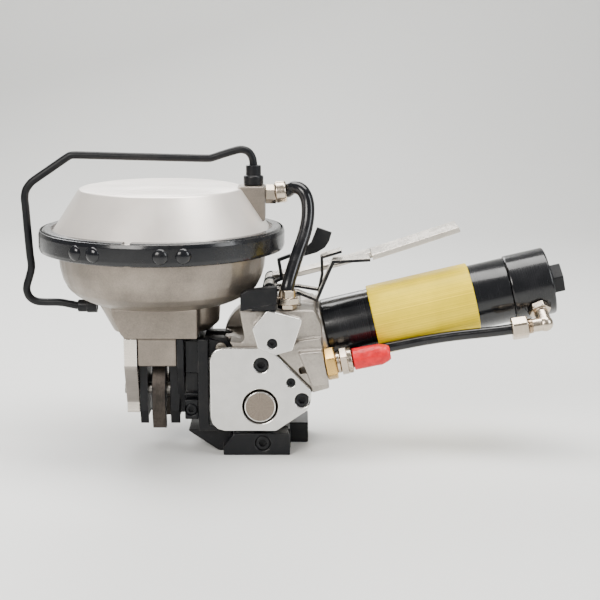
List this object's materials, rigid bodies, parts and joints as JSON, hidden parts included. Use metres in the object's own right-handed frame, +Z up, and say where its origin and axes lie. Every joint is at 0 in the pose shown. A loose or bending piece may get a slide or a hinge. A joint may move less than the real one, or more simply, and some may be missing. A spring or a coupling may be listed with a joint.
{
  "type": "strapping tensioner tool",
  "caption": "Hand-held pneumatic strapping tensioner and sealer with a domed sealing cylinder, feed wheel under a gear case, motor handle, hoses, levers and wire bail.",
  "frame": {"origin": "middle of the flat sole of the foot, under the tension wheel", "axes": "+Z up from the sole, +X along the tool towards the motor handle's end, -Y the side with the side plate, levers and air inlet"},
  "size_m": [0.4208, 0.2015, 0.2324],
  "materials": {
    "black_steel": "satin",
    "black_gloss": "gloss",
    "black_anodised": "gloss",
    "bright_steel": "satin",
    "turned_steel": "satin",
    "gear_steel": "satin",
    "dark_jaw": "matte",
    "cast_grey": "matte",
    "cast_silver": "satin",
    "satin_cover": "satin",
    "plate_silver": "satin",
    "nickel": "polished",
    "brass": "polished",
    "red_vinyl": "satin",
    "yellow_sleeve": "satin",
    "hose_black": "gloss"
  },
  "bodies": {
    "frame": {"foot_shoe": "black_steel", "foot_screw": "black_steel", "gripper_plug": "gear_steel", "base_frame": "black_steel", "rocker_pin": "bright_steel", "sealer_housing": "cast_grey", "top_cover": "satin_cover", "clamp_band": "black_gloss", "clamp_segment_left": "black_gloss", "clamp_segment_right": "black_gloss", "clamp_bolt": "bright_steel", "bail_handle": "black_steel", "bail_nut_top": "black_steel", "bail_nut_side": "black_steel", "jaw_plate_left": "bright_steel", "jaw_plate_right": "black_steel", "jaw_cheek_left": "black_steel", "jaw_pin_front": "gear_steel", "jaw_pin_rear": "gear_steel", "guide_block": "black_steel", "guide_screw": "black_steel", "seal_fitting_top": "nickel", "seal_hose": "hose_black", "piston_spring": "gear_steel"},
    "tension_unit": {"gear_case": "cast_silver", "side_plate": "plate_silver", "valve_cover": "plate_silver", "rear_cover": "plate_silver", "plate_screw_1": "black_steel", "plate_screw_2": "black_steel", "plate_screw_3": "black_steel", "valve_cover_screw": "black_steel", "handle_tube": "black_anodised", "grip_sleeve": "yellow_sleeve", "end_cap": "black_anodised", "end_plug": "black_steel", "motor_core": "gear_steel", "inlet_bushing": "brass", "quick_plug": "nickel", "elbow_fitting": "nickel", "elbow_nut": "nickel", "motor_hose": "hose_black", "seal_fitting_low": "nickel", "lever_bracket": "black_steel", "lever_pin": "bright_steel"},
    "wheel": {"wheel_shaft": "turned_steel", "tension_wheel": "gear_steel"},
    "intermediate_gear": {"intermediate_gear": "gear_steel"},
    "motor_rotor": {"motor_rotor": "gear_steel"},
    "lift_lever": {"lift_lever": "bright_steel"},
    "tension_trigger": {"tension_trigger": "bright_steel"},
    "seal_trigger": {"seal_trigger": "bright_steel"},
    "thumb_lever": {"thumb_lever": "black_steel"},
    "tension_plunger": {"tension_plunger": "bright_steel"},
    "seal_plunger": {"seal_plunger": "bright_steel"},
    "piston": {"seal_piston": "cast_silver", "piston_rod": "bright_steel"},
    "jaw_front": {"jaw_front": "dark_jaw"},
    "jaw_rear": {"jaw_rear": "dark_jaw"},
    "dust_cap": {"dust_cap": "red_vinyl"}
  },
  "joints": [
    {"name": "unit_rock", "type": "hinge", "parent": "frame", "child": "tension_unit", "pos_m": [-0.029, 0, 0.082], "axis": [0, -1, 0], "range_deg": [0, 3.5], "deforming": ["seal_hose"]},
    {"name": "rotor_spin", "type": "hinge", "parent": "tension_unit", "child": "motor_rotor", "pos_m": [0.0514, 0, 0.0879], "axis": [0.9736, 0, 0.2282], "continuous": true},
    {"name": "wheel_spin", "type": "hinge", "parent": "tension_unit", "child": "wheel", "pos_m": [0.0008, 0, 0.0393], "axis": [0, 1, 0], "continuous": true},
    {"name": "intermediate_spin", "type": "hinge", "parent": "tension_unit", "child": "intermediate_gear", "pos_m": [0.0008, 0, 0.0793], "axis": [0, 1, 0], "continuous": true},
    {"name": "lift_turn", "type": "hinge", "parent": "tension_unit", "child": "lift_lever", "pos_m": [0.008, 0, 0.126], "axis": [0, 1, 0], "range_deg": [0, 8.01]},
    {"name": "tension_press", "type": "hinge", "parent": "tension_unit", "child": "tension_trigger", "pos_m": [0.008, 0, 0.126], "axis": [0, 1, 0], "range_deg": [0, 4], "stiffness_Nm_per_rad": 1.2, "springref_deg": -5.73},
    {"name": "seal_press", "type": "hinge", "parent": "tension_unit", "child": "seal_trigger", "pos_m": [0.008, 0, 0.126], "axis": [0, 1, 0], "range_deg": [0, 2.2], "stiffness_Nm_per_rad": 1.2, "springref_deg": -5.73},
    {"name": "thumb_press", "type": "hinge", "parent": "tension_unit", "child": "thumb_lever", "pos_m": [0.008, 0, 0.126], "axis": [0, 1, 0], "range_deg": [0, 3], "stiffness_Nm_per_rad": 1.2, "springref_deg": -5.73},
    {"name": "tension_plunger_slide", "type": "slide", "parent": "tension_unit", "child": "tension_plunger", "axis": [0, 0, -1], "range_m": [0, 0.0025]},
    {"name": "seal_plunger_slide", "type": "slide", "parent": "tension_unit", "child": "seal_plunger", "axis": [0, 0, -1], "range_m": [0, 0.0015]},
    {"name": "piston_slide", "type": "slide", "parent": "frame", "child": "piston", "axis": [0, 0, -1], "range_m": [0, 0.01], "stiffness_N_per_m": 3000, "springref_m": -0.01, "deforming": ["piston_spring"]},
    {"name": "jaw_front_close", "type": "hinge", "parent": "frame", "child": "jaw_front", "pos_m": [-0.0778, -0.015, 0.046], "axis": [1, 0, 0], "range_deg": [0, 8]},
    {"name": "jaw_rear_close", "type": "hinge", "parent": "frame", "child": "jaw_rear", "pos_m": [-0.0778, 0.015, 0.046], "axis": [-1, 0, 0], "range_deg": [0, 8]},
    {"name": "dust_cap_pull", "type": "slide", "parent": "tension_unit", "child": "dust_cap", "axis": [0.9816, 0, 0.1908], "range_m": [0, 0.025]}
  ],
  "couplings": [
    {"joint": "wheel_spin", "follows": "rotor_spin", "ratio": 0.083333},
    {"joint": "intermediate_spin", "follows": "rotor_spin", "ratio": -0.055556},
    {"joint": "lift_turn", "follows": "unit_rock", "ratio": 2.2857},
    {"joint": "tension_plunger_slide", "follows": "tension_press", "m_per_rad": 0.0225},
    {"joint": "seal_plunger_slide", "follows": "seal_press", "m_per_rad": 0.016},
    {"joint": "jaw_front_close", "follows": "piston_slide", "rad_per_m": 13.96},
    {"joint": "jaw_rear_close", "follows": "piston_slide", "rad_per_m": 13.96}
  ]
}
